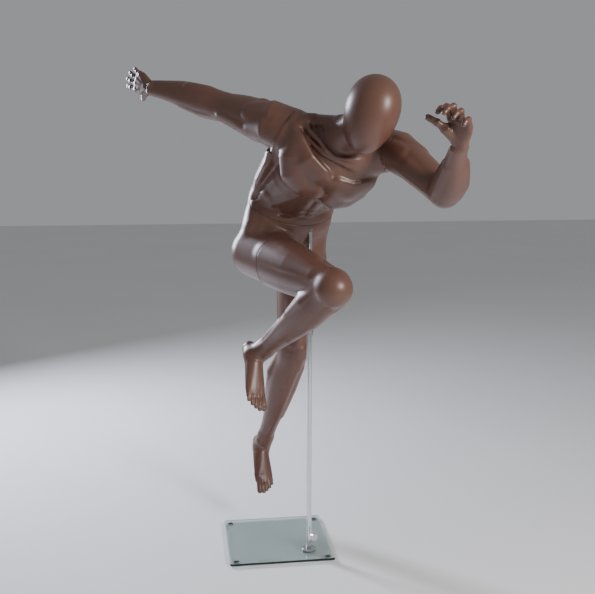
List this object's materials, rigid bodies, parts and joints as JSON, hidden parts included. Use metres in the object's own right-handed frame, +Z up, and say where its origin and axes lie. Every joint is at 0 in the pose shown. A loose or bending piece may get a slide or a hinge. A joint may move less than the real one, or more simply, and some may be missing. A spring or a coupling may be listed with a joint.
{
  "type": "full body mannequin",
  "caption": "Abstract full body mannequin in a leaping pose, held above a square glass plate by one rod; torso lifts off, arms, hands and raised leg twist in their fittings.",
  "frame": {"origin": "on the support rod's axis at floor level, at the centre of the pad under the rod", "axes": "+Z up along the rod; +X along the glass plate's front edge, towards the figure's left; -Y the side that the chest faces"},
  "size_m": [0.9802, 1.2141, 1.7526],
  "materials": {
    "body_skin": "satin warm brown lacquer over moulded fibreglass",
    "bright_chrome": "polished chrome plate",
    "clear_glass": "clear toughened glass, green edge",
    "clear_rubber": "soft translucent bumper",
    "fitting_steel": "zinc-plated steel"
  },
  "bodies": {
    "base": {"glass_base": "clear_glass", "corner_pads": "clear_rubber", "centre_pad": "clear_rubber", "base_washer": "fitting_steel", "base_bolt": "fitting_steel", "base_gasket": "clear_rubber", "base_flange": "bright_chrome"},
    "rod": {"support_rod": "bright_chrome"},
    "thumb_screw": {"thumb_screw": "bright_chrome"},
    "pelvis": {"pelvis_left_leg": "body_skin", "rod_socket": "fitting_steel", "waist_socket": "fitting_steel", "waist_socket_screws": "fitting_steel", "right_hip_socket": "fitting_steel", "right_hip_socket_screws": "fitting_steel"},
    "torso": {"upper_torso": "body_skin", "head": "body_skin", "waist_stud": "fitting_steel", "waist_stud_screws": "fitting_steel", "right_shoulder_socket": "fitting_steel", "right_shoulder_socket_screws": "fitting_steel", "left_shoulder_socket": "fitting_steel", "left_shoulder_socket_screws": "fitting_steel"},
    "right_leg": {"right_leg": "body_skin", "right_hip_stud": "fitting_steel", "right_hip_stud_screws": "fitting_steel"},
    "right_arm": {"right_arm": "body_skin", "right_shoulder_stud": "fitting_steel", "right_shoulder_stud_screws": "fitting_steel", "right_wrist_socket": "fitting_steel", "right_wrist_socket_screws": "fitting_steel"},
    "left_arm": {"left_arm": "body_skin", "left_shoulder_stud": "fitting_steel", "left_shoulder_stud_screws": "fitting_steel", "left_wrist_socket": "fitting_steel", "left_wrist_socket_screws": "fitting_steel"},
    "right_hand": {"right_hand": "body_skin", "right_wrist_stud": "fitting_steel", "right_wrist_stud_screws": "fitting_steel"},
    "left_hand": {"left_hand": "body_skin", "left_wrist_stud": "fitting_steel", "left_wrist_stud_screws": "fitting_steel"}
  },
  "joints": [
    {"name": "rod_swivel", "type": "hinge", "parent": "base", "child": "rod", "pos_m": [0, 0, 0.05], "axis": [0, 0, 1], "range_deg": [-180, 180]},
    {"name": "thumb_screw_turn", "type": "hinge", "parent": "rod", "child": "thumb_screw", "pos_m": [0, 0, 0.078], "axis": [0.3, -0.9539, 0], "range_deg": [0, 360]},
    {"name": "mannequin_lift", "type": "slide", "parent": "rod", "child": "pelvis", "axis": [0, 0, 1], "range_m": [0, 0.1]},
    {"name": "torso_lift", "type": "slide", "parent": "pelvis", "child": "torso", "axis": [0, 0, 1], "range_m": [0, 0.1]},
    {"name": "right_leg_twist", "type": "hinge", "parent": "pelvis", "child": "right_leg", "pos_m": [-0.117, -0.058, 1.088], "axis": [0.4264, -0.8902, -0.1605], "range_deg": [-20, 5]},
    {"name": "right_arm_twist", "type": "hinge", "parent": "torso", "child": "right_arm", "pos_m": [-0.096, -0.123, 1.519], "axis": [-0.7795, 0.3498, 0.5197], "range_deg": [-20, 20]},
    {"name": "left_arm_twist", "type": "hinge", "parent": "torso", "child": "left_arm", "pos_m": [0.22, -0.242, 1.458], "axis": [0.9296, -0.2799, -0.2399], "range_deg": [-20, 20]},
    {"name": "right_hand_turn", "type": "hinge", "parent": "right_arm", "child": "right_hand", "pos_m": [-0.537, 0.267, 1.683], "axis": [-0.7814, 0.5754, 0.2415], "range_deg": [-90, 90]},
    {"name": "left_hand_turn", "type": "hinge", "parent": "left_arm", "child": "left_hand", "pos_m": [0.296, -0.708, 1.472], "axis": [-0.0996, -0.8143, 0.5718], "range_deg": [-90, 90]}
  ]
}
